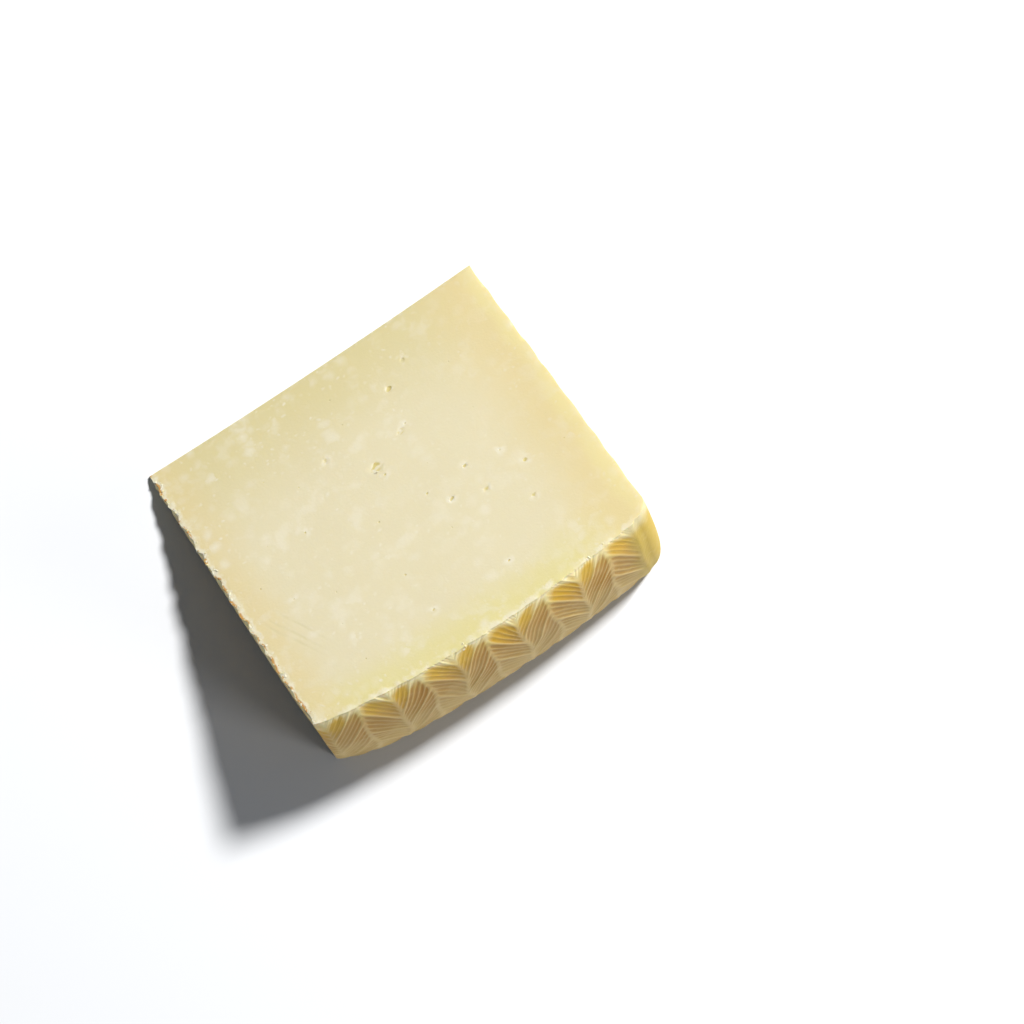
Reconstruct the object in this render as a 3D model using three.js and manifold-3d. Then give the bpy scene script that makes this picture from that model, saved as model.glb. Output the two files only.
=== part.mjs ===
import * as THREE from 'three';
import { mergeVertices } from 'three/addons/utils/BufferGeometryUtils.js';
import Module from 'manifold-3d';

// A wedge of aged sheep's milk cheese, in millimetres, +Z up. It was cut from a drum-shaped
// wheel and lies on one of its two cut faces. The wheel's axis runs along X, the thin nose
// where the cuts meet is at +Y, and the plaited rind of the rim is at -Y.

// The wheel
const wheelRadius = 99.4; // at mid height, over the ridges of the rind
const wheelHeight = 102.7;
const rimBulge = { low: 3.2, high: 4.4 }; // how much less the radius is at the ends, by the cuts
const rimSlope = 0.5; // the +X end is this much wider than the middle
const roundedEdge = 5.2; // radius of the soft edge at +X
const worn = { inward: 1.7, along: 9.3 }; // the flatter, worn edge at -X
const faceHollow = 0.5; // the +X face is this much sunk at the wheel's middle

// The cut
const wedgeAngle = THREE.MathUtils.degToRad(31.1);
const noseSetback = 2.5; // from the wheel's axis to the blunt nose
const noseSag = 1.05; // the nose line is hollow in the middle
const cutClear = 12; // how far the cutting shapes reach past the wheel

// The plait pressed into the rim: columns of slanted bundles that lean left and right in turn
const columnWidth = 9.3;
const valleyLine = 7.0; // x of one line where the strands of two columns meet pointing down
const bundlesRound = 46; // round the whole wheel
const bundlesCrossed = { steep: 3 / 2, slack: 9 / 8 }; // run of a strand across the two kinds of column
const bundleStart = 47.2; // arc above the table of one slack bundle's edge on the valley lines
const steepLead = 1 / 4; // the steep bundles' edges lie this share of a bundle further on
const stepsPerBundle = 8;
const stepsPerColumn = 4;
const plaitDepth = 1.0;
const plaitEnd = { from: 41.5, to: 45.5 }; // the plait fades out before the soft edge

// The ears of grain pressed into the two flat faces: ribs that sweep back from a spine
const spineSpacing = THREE.MathUtils.degToRad(45);
const spineAngle = THREE.MathUtils.degToRad(11);
const ribSweep = 0.62;
const fineRibs = { pitch: 5.6, depth: 0.55, ringStep: 1.87, margin: 3 }; // the face at -X
const broadRibs = { pitch: 12.6, depth: 0.6, ringStep: 3.1, margin: 8 }; // the face at +X
const marginFade = 4; // the ribs start this far inside the plain band along the rim

// The rim's corner at -X is cut back towards the table
const cornerBack = { depth: 2.6, along: 23, faceDepth: 0.9, faceAlong: 24 };

// The eyes in the upper cut face
const eyeCount = 14;
const eyeRadius = { least: 0.7, most: 1.5 };
const eyeMargin = 9;
const eyeSeed = 20.7;

const bundleLength = (2 * Math.PI * wheelRadius) / bundlesRound; // measured round the rim
const steepSlope = (bundlesCrossed.steep * bundleLength) / columnWidth;
const slackSlope = (bundlesCrossed.slack * bundleLength) / columnWidth;
const halfHeight = wheelHeight / 2;
const { clamp, lerp, smoothstep } = THREE.MathUtils;

const wasm = await Module();
wasm.setup();

function solidOf(geometry) {
  const bare = geometry.clone();
  bare.deleteAttribute('normal');
  bare.deleteAttribute('uv');
  const merged = mergeVertices(bare);
  const corners = [];
  for (let i = 0; i < merged.index.count; i += 3) {
    const [a, b, c] = merged.index.array.slice(i, i + 3);
    if (a !== b && b !== c && c !== a) corners.push(a, b, c); // a pole has flat triangles
  }
  return new wasm.Manifold(
    new wasm.Mesh({
      numProp: 3,
      vertProperties: new Float32Array(merged.attributes.position.array),
      triVerts: new Uint32Array(corners),
    }),
  );
}

function geometryOf(solid) {
  const { vertProperties, triVerts } = solid.getMesh();
  const geometry = new THREE.BufferGeometry();
  geometry.setAttribute('position', new THREE.BufferAttribute(vertProperties, 3));
  geometry.setIndex(new THREE.BufferAttribute(triVerts, 1));
  return geometry;
}

// Radius of the rim at x, before its edges are rounded
function rimRadius(x) {
  const s = x / halfHeight;
  return wheelRadius - rimBulge.low * s * s + rimSlope * s;
}

// Places across the rim that fall on the column lines, with even steps between them
function rimStations(from, to) {
  const step = columnWidth / stepsPerColumn;
  const first = Math.ceil((from - valleyLine) / step);
  const last = Math.floor((to - valleyLine) / step);
  const places = [];
  for (let k = first; k <= last; k++) places.push(valleyLine + k * step);
  return places;
}

// Half section of the wheel, from the middle of the +X face round to the middle of the -X face
function wheelProfile() {
  const points = [];
  const add = (radius, x) => points.push(new THREE.Vector2(radius, -x));
  const quarter = Math.PI / 2;
  const edgeSteps = 5;

  const softRadius = rimRadius(halfHeight) - roundedEdge;
  const broadRings = Math.round(softRadius / broadRibs.ringStep);
  for (let k = 0; k < broadRings; k++) add((softRadius * k) / broadRings, halfHeight);
  for (let k = 0; k <= edgeSteps; k++) {
    const turn = (quarter * k) / edgeSteps;
    add(softRadius + roundedEdge * Math.sin(turn), halfHeight - roundedEdge * (1 - Math.cos(turn)));
  }

  const plain = rimStations(-halfHeight + worn.along + 0.5, halfHeight - roundedEdge - 0.5);
  for (const x of plain.reverse()) add(rimRadius(x), x);

  const wornRadius = rimRadius(-halfHeight) - worn.inward;
  for (let k = 0; k <= edgeSteps; k++) {
    const turn = (quarter * k) / edgeSteps;
    const x = -halfHeight + worn.along * (1 - Math.sin(turn));
    add(rimRadius(x) - worn.inward * (1 - Math.cos(turn)), x);
  }
  const fineRings = Math.round(wornRadius / fineRibs.ringStep);
  for (let k = fineRings - 1; k >= 0; k--) add((wornRadius * k) / fineRings, -halfHeight);
  return points;
}

// The column that x lies in: its valley line, how far x is from that line, and the strands' slope
function columnAt(x) {
  const pair = Math.floor((x - valleyLine) / (2 * columnWidth));
  const fromValley = x - valleyLine - pair * 2 * columnWidth;
  if (fromValley < columnWidth) {
    return { pair, away: fromValley, slope: steepSlope, lead: steepLead };
  }
  return { pair: pair + 1, away: 2 * columnWidth - fromValley, slope: slackSlope, lead: 0 };
}

// How far a strand has run round the rim at x, followed from the first valley line
function strandRun(x) {
  const { pair, away, slope } = columnAt(x);
  return pair * (steepSlope - slackSlope) * columnWidth + away * slope;
}

// Depth of the plait at x and at a length of arc above the table
function plaitAt(x, arc) {
  const { away, slope, lead } = columnAt(x);
  const atValley = (arc - away * slope - bundleStart) / bundleLength - lead;
  const inBundle = THREE.MathUtils.euclideanModulo(atValley, 1);
  const acrossColumn = clamp(away / columnWidth, 0, 1);
  const dish = Math.sqrt(Math.sin(Math.PI * inBundle) * Math.sin(Math.PI * acrossColumn));
  return plaitDepth * dish * (1 - smoothstep(x, plaitEnd.from, plaitEnd.to));
}

// Depth of the pressed ribs at a place on a flat face
function ribsAt(radius, angle, { pitch, depth, margin }) {
  const nearest = Math.round((angle - spineAngle) / spineSpacing) * spineSpacing + spineAngle;
  const off = angle - nearest;
  const along = radius * (Math.cos(off) + Math.abs(Math.sin(off)) * ribSweep);
  const edge = wheelRadius - rimBulge.low - margin;
  const inside = 1 - smoothstep(radius, edge - marginFade, edge);
  return depth * inside * (0.5 + 0.5 * Math.cos((2 * Math.PI * along) / pitch));
}

// Depth of a flat face at a place: its ribs, the hollow of one face and the worn corner of the other
function faceAt(x, radius, angle) {
  if (x > 0) {
    const hollow = faceHollow * (1 - smoothstep(radius, 0, 0.7 * wheelRadius));
    return ribsAt(radius, angle, broadRibs) + hollow;
  }
  const nearRim = smoothstep(radius, wheelRadius - cornerBack.faceAlong, wheelRadius);
  return ribsAt(radius, angle, fineRibs) + cornerBack.faceDepth * nearRim;
}

// How far the rim lies inside its even curve: more bulge towards the upper cut, and the worn corner
function rimLoss(x, angle) {
  const s = x / halfHeight;
  const up = clamp(angle / wedgeAngle, 0, 1);
  const nearEnd = clamp(1 - (x + halfHeight) / cornerBack.along, 0, 1);
  return (rimBulge.high - rimBulge.low) * s * s * up + cornerBack.depth * nearEnd * nearEnd * (1 - up);
}

function pressRelief(geometry) {
  const position = geometry.attributes.position;
  for (let i = 0; i < position.count; i++) {
    const x = position.getX(i);
    const radius = Math.hypot(position.getY(i), position.getZ(i));
    const straight = Math.atan2(position.getZ(i), -position.getY(i));
    const angle = straight + strandRun(x) / wheelRadius; // the mesh follows the strands
    const edge = rimRadius(x) - worn.inward;
    const onRim = smoothstep(radius, edge - roundedEdge, edge);
    const pressed = plaitAt(x, angle * wheelRadius) + rimLoss(x, angle);
    const newRadius = radius - pressed * onRim;
    const onFace = smoothstep(Math.abs(x), halfHeight - 0.5, halfHeight);
    const newX = x - Math.sign(x) * faceAt(x, radius, angle) * onFace;
    position.setXYZ(i, newX, -newRadius * Math.cos(angle), newRadius * Math.sin(angle));
  }
}

function makeWheel() {
  const start = bundleStart / wheelRadius;
  const steps = bundlesRound * stepsPerBundle;
  const lathe = new THREE.LatheGeometry(wheelProfile(), steps, start, 2 * Math.PI);
  const turn = new THREE.Matrix4().makeBasis(
    new THREE.Vector3(0, 0, 1),
    new THREE.Vector3(-1, 0, 0),
    new THREE.Vector3(0, -1, 0),
  );
  lathe.applyMatrix4(turn);
  pressRelief(lathe);
  return solidOf(lathe);
}

// The angle between the two cuts, drawn from the end of the wheel and extruded along it
function makeCut() {
  const reach = wheelRadius + cutClear;
  const shape = new THREE.Shape();
  shape.moveTo(0, 0);
  shape.lineTo(reach, 0);
  shape.lineTo(reach, reach * Math.tan(wedgeAngle));
  shape.closePath();
  const depth = wheelHeight + 2 * cutClear;
  const prism = new THREE.ExtrudeGeometry(shape, { depth, bevelEnabled: false });
  prism.translate(0, 0, -depth / 2);
  prism.applyMatrix4(
    new THREE.Matrix4().makeBasis(
      new THREE.Vector3(0, -1, 0),
      new THREE.Vector3(0, 0, 1),
      new THREE.Vector3(-1, 0, 0),
    ),
  );
  return solidOf(prism);
}

// The outline seen from above, with the hollow nose line on its +Y side
function makePlan() {
  const half = halfHeight + cutClear;
  const far = -(wheelRadius + cutClear);
  const shape = new THREE.Shape();
  shape.moveTo(-half, far);
  shape.lineTo(half, far);
  shape.lineTo(half, -noseSetback);
  shape.quadraticCurveTo(0, -noseSetback - 2 * noseSag, -half, -noseSetback);
  shape.closePath();
  const depth = wheelRadius + 2 * cutClear;
  const options = { depth, bevelEnabled: false, curveSegments: 16 };
  const plan = new THREE.ExtrudeGeometry(shape, options);
  plan.translate(0, 0, -cutClear);
  return solidOf(plan);
}

function* seededDraws(seed) {
  for (let k = 1; ; k++) {
    const value = Math.sin(seed * k * 12.9898) * 43758.5453;
    yield value - Math.floor(value);
  }
}

function makeEyes() {
  const draws = seededDraws(eyeSeed);
  const draw = (least, most) => lerp(least, most, draws.next().value);
  const eyes = [];
  for (let k = 0; k < eyeCount; k++) {
    const eye = new THREE.IcosahedronGeometry(draw(eyeRadius.least, eyeRadius.most), 1);
    eye.scale(draw(0.8, 1.4), draw(0.8, 1.2), 0.8);
    const out = draw(2 * eyeMargin, wheelRadius - 2 * eyeMargin);
    const x = draw(-halfHeight + eyeMargin, halfHeight - eyeMargin);
    eye.translate(0, 0, draw(-0.2, 0.2));
    eye.rotateX(-wedgeAngle);
    eye.translate(x, -out * Math.cos(wedgeAngle), out * Math.sin(wedgeAngle));
    eyes.push(solidOf(eye));
  }
  return eyes;
}

function makeWedge() {
  let wedge = makeWheel().intersect(makeCut()).intersect(makePlan());
  for (const eye of makeEyes()) wedge = wedge.subtract(eye);
  const geometry = geometryOf(wedge);
  geometry.computeBoundingBox();
  const box = geometry.boundingBox;
  const middle = box.getCenter(new THREE.Vector3());
  geometry.translate(-middle.x, -middle.y, -box.min.z);
  geometry.computeVertexNormals();
  return geometry;
}

const cheeseMaterial = new THREE.MeshStandardMaterial({
  color: '#ecdfb8',
  roughness: 0.55,
  metalness: 0,
});

const cheese = new THREE.Group();
const wedgeMesh = new THREE.Mesh(makeWedge(), cheeseMaterial);
wedgeMesh.name = 'cheese_wedge';
cheese.add(wedgeMesh);

export default cheese;
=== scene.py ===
import math
import bpy
import numpy as np
from mathutils import Matrix, Vector


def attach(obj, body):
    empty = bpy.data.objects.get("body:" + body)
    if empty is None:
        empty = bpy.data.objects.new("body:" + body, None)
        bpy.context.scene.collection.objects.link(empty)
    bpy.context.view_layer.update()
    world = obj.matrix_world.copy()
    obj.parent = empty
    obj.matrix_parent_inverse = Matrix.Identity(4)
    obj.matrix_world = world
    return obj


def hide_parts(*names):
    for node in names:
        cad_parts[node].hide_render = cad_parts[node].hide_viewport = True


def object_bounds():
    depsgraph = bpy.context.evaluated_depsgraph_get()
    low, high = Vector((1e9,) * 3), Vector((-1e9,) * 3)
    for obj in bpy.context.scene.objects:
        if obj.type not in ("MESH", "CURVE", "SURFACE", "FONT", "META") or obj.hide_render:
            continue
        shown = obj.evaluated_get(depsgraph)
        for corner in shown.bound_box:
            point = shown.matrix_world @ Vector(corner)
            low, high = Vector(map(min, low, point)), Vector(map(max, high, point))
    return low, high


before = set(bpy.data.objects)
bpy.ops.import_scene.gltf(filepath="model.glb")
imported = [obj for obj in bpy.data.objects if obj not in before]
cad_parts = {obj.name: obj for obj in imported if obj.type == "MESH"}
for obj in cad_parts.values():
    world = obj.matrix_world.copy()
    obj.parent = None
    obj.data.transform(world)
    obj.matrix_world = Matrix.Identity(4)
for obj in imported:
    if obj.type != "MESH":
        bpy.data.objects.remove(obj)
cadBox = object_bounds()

# A wedge of aged sheep's milk cheese, lying on one of its two cuts, in metres.
# The wheel's axis runs along X, the thin nose is at +Y and the plaited rim at -Y.

mm = 0.001

wheel = {
    "radius": 99.4 * mm,        # at mid height, over the ridges of the rind
    "height": 102.7 * mm,
    "bulgeLow": 3.2 * mm,       # how much less the radius is at the ends, by the table
    "bulgeHigh": 4.4 * mm,      # and by the upper cut
    "slope": 0.5 * mm,          # the +X end is wider than the middle by this
    "softEdge": 5.2 * mm,       # rounding at +X
    "wornInward": 1.7 * mm,     # the flatter, worn edge at -X
    "wornAlong": 9.3 * mm,
    "faceHollow": 0.5 * mm,
    "cornerDepth": 2.6 * mm,    # the rim's corner at -X is cut back towards the table
    "cornerAlong": 23 * mm,
    "faceCornerDepth": 0.9 * mm,
    "faceCornerAlong": 24 * mm,
}

plait = {
    "columnWidth": 9.3 * mm,
    "valleyLine": 7.0 * mm,     # x of one line where the strands meet pointing down
    "bundlesRound": 46,
    "bundleStart": 47.2 * mm,   # arc above the table of one slack bundle's edge
    "steepRun": 3 / 2,          # run of a strand across its column, in bundles
    "slackRun": 9 / 8,
    "steepLead": 1 / 4,
    "steepArch": 0.5 * mm,      # how far a strand bows off the straight line
    "slackArch": 1.0 * mm,
    "strands": 4,               # in each bundle
    "bundleDepth": 0.5 * mm,
    "shallowUp": 0.4,           # share of that depth near the upper cut, where the rind is rubbed
    "strandDepth": 0.12 * mm,
    "bundleWidth": 0.97,        # share of the way to the next bundle, in the middle of a column
    "bundleEndWidth": 0.86,     # and at its ends
    "dishShape": 0.6,           # under 1 gives a bundle fuller ends
    "channelShape": 0.7,        # under 1 gives a strand a flatter channel and thinner ridges
    "strandSway": 0.12,         # share of a bundle by which its strands stray
    "shallowFrom": 16 * mm,     # arc below the upper cut where the bundles start to deepen
    "shallowTo": 38 * mm,
    "endsAt": 41.5 * mm,        # the plait fades out before the soft edge
    "goneAt": 45.5 * mm,
    "endWander": 3 * mm,        # how far that end wanders to either side
    "rowsPerBundle": 48,
    "rowsPerColumn": 10,
    "fineRows": (-40 * mm, 86 * mm),        # arc above the table with all of those rows
    "sway": 0.45 * mm,          # how far the plait's lines wander, on waves of these lengths
    "swayLengths": (0.0041, 0.0073),
    "swaySlants": (90, -140),   # turn of those waves for each metre along X
}

ears = {                        # the ears of grain pressed into the flat faces
    "spineSpacing": math.radians(45),
    "spineAngle": math.radians(11),
    "ribSweep": 0.62,
    "finePitch": 5.6 * mm,      # the face at -X
    "fineDepth": 0.5 * mm,
    "fineMargin": 3 * mm,
    "fineRing": 1.12 * mm,
    "broadPitch": 12.6 * mm,    # the face at +X
    "broadDepth": 0.28 * mm,
    "broadMargin": 8 * mm,
    "broadRing": 1.8 * mm,
    "marginFade": 4 * mm,
    "waver": 0.6,               # share of a pitch by which the ribs stray
    "roughShare": 0.6,          # share of the rind's unevenness that the flat faces have
    "faceFrom": 2.2 * mm,       # from the end of the wheel inwards, where a flat face starts
    "faceFull": 1.2 * mm,
}

cut = {
    "angle": math.radians(31.1),
    "noseSetback": 2.5 * mm,
    "noseSag": 1.05 * mm,
    "clear": 12 * mm,
    "step": 1.25 * mm,          # mesh size of the cut faces
    "unevenness": 0.12 * mm,
    "waveAlong": 17 * mm,       # lengths of that unevenness, along X and away from the nose
    "waveOut": 23 * mm,
    "noseRounding": 0.35 * mm,
    "roundingReach": 1.2 * mm,
    "noseSteps": (0, 0.15, 0.35, 0.6),      # shares of a step, for the first points by the nose
}

halfHeight = wheel["height"] / 2
axisY = cadBox[0].y + wheel["radius"]
bundleLength = 2 * math.pi * wheel["radius"] / plait["bundlesRound"]
topArc = cut["angle"] * wheel["radius"]     # from the table up to the upper cut, round the rim


# Small helpers for node trees

def feed(tree, socket, value):
    if isinstance(value, bpy.types.NodeSocket):
        tree.links.new(value, socket)
    elif value is not None:
        socket.default_value = value


def addNode(tree, kind, inputs=None, **settings):
    node = tree.nodes.new(kind)
    for name, value in settings.items():
        setattr(node, name, value)
    sockets = {s.name: s for s in node.inputs if s.enabled}
    for name, value in (inputs or {}).items():
        feed(tree, sockets[name], value)
    count = len(tree.nodes)
    node.location = (220 * (count // 6), -180 * (count % 6))
    return node


def calc(tree, operation, *values):
    node = addNode(tree, "ShaderNodeMath", operation=operation)
    for socket, value in zip(node.inputs, values):
        feed(tree, socket, value)
    return node.outputs[0]


def vectorCalc(tree, operation, *values):
    node = addNode(tree, "ShaderNodeVectorMath", operation=operation)
    sockets = [s for s in node.inputs if s.enabled]
    for socket, value in zip(sockets, values):
        feed(tree, socket, value)
    return next(s for s in node.outputs if s.enabled)


# 0 below low, 1 above high, smooth between
def ease(tree, value, low, high, atLow=0.0, atHigh=1.0):
    span = {"Value": value, "From Min": low, "From Max": high, "To Min": atLow, "To Max": atHigh}
    return addNode(tree, "ShaderNodeMapRange", span, interpolation_type="SMOOTHSTEP").outputs[0]


def noise(tree, vector, scale, detail=2.0, roughness=0.5, distortion=0.0):
    inputs = {"Vector": vector, "Scale": scale, "Detail": detail, "Roughness": roughness}
    inputs["Distortion"] = distortion
    return addNode(tree, "ShaderNodeTexNoise", inputs).outputs[0]


def named(tree, name, kind="FLOAT"):
    node = addNode(tree, "GeometryNodeInputNamedAttribute", {"Name": name}, data_type=kind)
    return node.outputs["Attribute"]


def store(tree, geometry, name, value, domain="POINT", kind="FLOAT"):
    inputs = {"Geometry": geometry, "Name": name, "Value": value}
    node = addNode(tree, "GeometryNodeStoreNamedAttribute", inputs, data_type=kind, domain=domain)
    return node.outputs[0]


def newTree(name, kind, sockets):
    tree = bpy.data.node_groups.new(name, kind)
    for label, socketType, value in sockets:
        socket = tree.interface.new_socket(label, in_out="INPUT", socket_type=socketType)
        if value is not None:
            socket.default_value = value
    start = addNode(tree, "NodeGroupInput")
    return tree, {s.name: s for s in start.outputs if s.name}


# Runs a tree on a copy of the object and keeps the result as a plain mesh of its own
def bakeTree(source, tree, values, name):
    modifier = source.modifiers.new(tree.name, "NODES")
    modifier.node_group = tree
    for item in tree.interface.items_tree:
        if item.in_out == "INPUT" and item.name in values:
            modifier[item.identifier] = values[item.name]
    bpy.context.view_layer.update()
    evaluated = source.evaluated_get(bpy.context.evaluated_depsgraph_get())
    mesh = bpy.data.meshes.new_from_object(evaluated)
    mesh.name = name
    source.modifiers.remove(modifier)
    made = bpy.data.objects.new(name, mesh)
    bpy.context.scene.collection.objects.link(made)
    print(name, len(mesh.polygons), "faces")
    return made


def meshObject(name, points, faces, attributes=None):
    mesh = bpy.data.meshes.new(name)
    mesh.from_pydata(points, [], faces)
    for label, values in (attributes or {}).items():
        mesh.attributes.new(label, "FLOAT", "POINT").data.foreach_set("value", values)
    made = bpy.data.objects.new(name, mesh)
    bpy.context.scene.collection.objects.link(made)
    return made


# The smooth wheel, before anything is pressed into it

def smooth(value, low, high):
    t = np.clip((value - low) / (high - low), 0, 1)
    return t * t * (3 - 2 * t)


def rimRadius(x):
    s = x / halfHeight
    return wheel["radius"] - wheel["bulgeLow"] * s * s + wheel["slope"] * s


# Half section of the wheel from the middle of the +X face round to the middle of the -X face
def wheelProfile():
    radii, places = [], []
    edgeSteps = 8
    softRadius = rimRadius(halfHeight) - wheel["softEdge"]
    rings = round(softRadius / ears["broadRing"])
    for k in range(rings):
        radii.append(softRadius * k / rings)
        places.append(halfHeight)
    for k in range(edgeSteps + 1):
        turn = math.pi / 2 * k / edgeSteps
        radii.append(softRadius + wheel["softEdge"] * math.sin(turn))
        places.append(halfHeight - wheel["softEdge"] * (1 - math.cos(turn)))

    step = plait["columnWidth"] / plait["rowsPerColumn"]
    low = -halfHeight + wheel["wornAlong"] + step / 2
    high = halfHeight - wheel["softEdge"] - step / 2
    first = math.ceil((low - plait["valleyLine"]) / step)
    last = math.floor((high - plait["valleyLine"]) / step)
    for k in range(last, first - 1, -1):
        x = plait["valleyLine"] + k * step
        radii.append(rimRadius(x))
        places.append(x)

    for k in range(edgeSteps + 1):
        turn = math.pi / 2 * k / edgeSteps
        x = -halfHeight + wheel["wornAlong"] * (1 - math.sin(turn))
        radii.append(rimRadius(x) - wheel["wornInward"] * (1 - math.cos(turn)))
        places.append(x)
    wornRadius = radii[-1]
    rings = round(wornRadius / ears["fineRing"])
    for k in range(rings - 1, -1, -1):
        radii.append(wornRadius * k / rings)
        places.append(-halfHeight)
    return np.array(radii), np.array(places)


# Where x lies in the plait: the pair of columns, how far across its column, and whether it is steep
def columnAt(x):
    width = plait["columnWidth"]
    pair = np.floor((x - plait["valleyLine"]) / (2 * width))
    rest = x - plait["valleyLine"] - pair * 2 * width
    steep = rest < width
    across = np.where(steep, rest, 2 * width - rest) / width
    return np.where(steep, pair, pair + 1), across, steep


# Rows of the mesh round the wheel, close together where the wedge will be cut
def wheelRows():
    perBundle = plait["rowsPerBundle"]
    coarse = perBundle // 3
    rowStep = bundleLength / perBundle
    rows = []
    for k in range(plait["bundlesRound"] * perBundle):
        arc = plait["bundleStart"] + k * rowStep
        if arc > math.pi * wheel["radius"]:
            arc -= 2 * math.pi * wheel["radius"]
        if k % coarse == 0 or plait["fineRows"][0] < arc < plait["fineRows"][1]:
            rows.append(arc)
    return np.array(rows)


def makeWheel():
    radius, x = wheelProfile()
    rows = wheelRows()
    pair, across, steep = columnAt(x)
    net = (plait["steepRun"] - plait["slackRun"]) * bundleLength
    run = np.where(steep, plait["steepRun"], plait["slackRun"]) * bundleLength * across
    arch = np.where(steep, plait["steepArch"], plait["slackArch"]) * np.sin(math.pi * across)
    arc = rows[:, None] + (pair * net + run + arch)[None, :]
    lead = np.where(steep, plait["steepLead"], 0)
    turn = (rows[:, None] + pair * net - plait["bundleStart"]) / bundleLength - lead
    bundleMiddle = plait["bundleStart"] + (np.floor(turn) + 0.5 + lead) * bundleLength
    angle = arc / wheel["radius"]
    x = np.broadcast_to(x, arc.shape)
    radius = np.broadcast_to(radius, arc.shape)

    s = x / halfHeight
    up = np.clip(angle / cut["angle"], 0, 1)
    nearEnd = np.clip(1 - (x + halfHeight) / wheel["cornerAlong"], 0, 1)
    loss = (wheel["bulgeHigh"] - wheel["bulgeLow"]) * s * s * up
    loss = loss + wheel["cornerDepth"] * nearEnd ** 2 * (1 - up)
    edge = rimRadius(x) - wheel["wornInward"]
    rimShare = smooth(radius, edge - wheel["softEdge"], edge)
    faceShare = smooth(np.abs(x), halfHeight - 0.5 * mm, halfHeight)

    hollow = wheel["faceHollow"] * (1 - smooth(radius, 0, 0.7 * wheel["radius"]))
    inner = wheel["radius"] - wheel["faceCornerAlong"]
    back = wheel["faceCornerDepth"] * smooth(radius, inner, wheel["radius"])
    sunk = np.where(x > 0, hollow, back) * faceShare
    middle = 1 - s ** 4
    waves = sum(np.sin(arc / length + slant * x)
                for length, slant in zip(plait["swayLengths"], plait["swaySlants"]))
    sway = plait["sway"] * middle * waves
    newRadius = radius - loss * rimShare
    newX = x - np.sign(x) * sunk + sway * rimShare

    spacing = ears["spineSpacing"]
    nearest = np.round((angle - ears["spineAngle"]) / spacing) * spacing + ears["spineAngle"]
    off = angle - nearest
    ribRun = radius * (np.cos(off) + np.abs(np.sin(off)) * ears["ribSweep"])
    margin = np.where(x > 0, ears["broadMargin"], ears["fineMargin"])
    plain = wheel["radius"] - wheel["bulgeLow"] - margin
    ribShare = faceShare * (1 - smooth(radius, plain - ears["marginFade"], plain))

    flatPoints = np.stack([newX, axisY - newRadius * np.cos(angle), newRadius * np.sin(angle)], -1)
    fields = {"turn": turn, "across": np.broadcast_to(across, arc.shape),
              "arcBelow": topArc - arc, "bundleBelow": topArc - bundleMiddle,
              "rimShare": rimShare, "ribShare": ribShare, "ribRun": ribRun}
    return joinRows(flatPoints, fields)


# Joins the rows into one closed wheel, with a single point in the middle of each face
def joinRows(points, fields):
    rowCount, columnCount = points.shape[:2]
    inner = columnCount - 2
    body = points[:, 1:-1].reshape(-1, 3)
    poles = points[0, [0, -1]]
    allPoints = np.concatenate([body, poles])
    firstPole, lastPole = len(body), len(body) + 1
    j = np.arange(rowCount)
    after = (j + 1) % rowCount
    i = np.arange(inner - 1)
    quads = np.stack([(j[:, None] * inner + i), (after[:, None] * inner + i),
                      (after[:, None] * inner + i + 1), (j[:, None] * inner + i + 1)], -1)
    faces = quads.reshape(-1, 4).tolist()
    faces += [[firstPole, b * inner, a * inner] for a, b in zip(j.tolist(), after.tolist())]
    end = inner - 1
    faces += [[lastPole, a * inner + end, b * inner + end] for a, b in zip(j.tolist(), after.tolist())]
    flat = {}
    for name, values in fields.items():
        flat[name] = np.concatenate([values[:, 1:-1].ravel(), values[0, [0, -1]]])
    return meshObject("wheelBlank", allPoints.tolist(), faces, flat)


# The cutting shape: two flat cuts that meet in a blunt nose, the upper one a little uneven
def makeCutter():
    reach = halfHeight + cut["clear"]
    xs = np.linspace(-reach, reach, round(2 * reach / cut["step"]) + 1)
    far = wheel["radius"] + cut["clear"]
    t = np.linspace(0, 1, round(far / cut["step"]) + 1)
    near = np.array(cut["noseSteps"]) * cut["step"]
    t = np.concatenate([near / far, t[1:]])
    nose = cut["noseSetback"] + cut["noseSag"] * (1 - (xs / reach) ** 2)
    out = nose[:, None] + (far - nose[:, None]) * t[None, :]
    x = np.broadcast_to(xs[:, None], out.shape)
    top = out * math.tan(cut["angle"])
    a, b = x / cut["waveAlong"], out / cut["waveOut"]
    wave = np.sin(a + 1.7 * np.sin(b)) + np.sin(1.6 * b - 0.8 * a + 2) + 0.5 * np.sin(3.1 * a + 2.3 * b)
    edge = 1 - smooth(out - nose[:, None], 0, cut["roundingReach"])
    top = top + cut["unevenness"] * 0.5 * (wave - 1) - cut["noseRounding"] * edge ** 2
    rows, columns = out.shape
    upper = np.stack([x, axisY - out, top], -1).reshape(-1, 3)
    lower = np.stack([x, axisY - out, 0 * out], -1).reshape(-1, 3)
    count = rows * columns
    index = np.arange(count).reshape(rows, columns)
    quads = np.stack([index[:-1, :-1], index[:-1, 1:], index[1:, 1:], index[1:, :-1]], -1).reshape(-1, 4)
    faces = quads.tolist() + (quads[:, ::-1] + count).tolist()
    ring = np.concatenate([index[0, :], index[1:, -1], index[-1, -2::-1], index[-2:0:-1, 0]])
    following = np.roll(ring, -1)
    walls = np.stack([following, ring, ring + count, following + count], -1)
    return meshObject("cuttingShape", np.concatenate([upper, lower]).tolist(), faces + walls.tolist())


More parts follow.
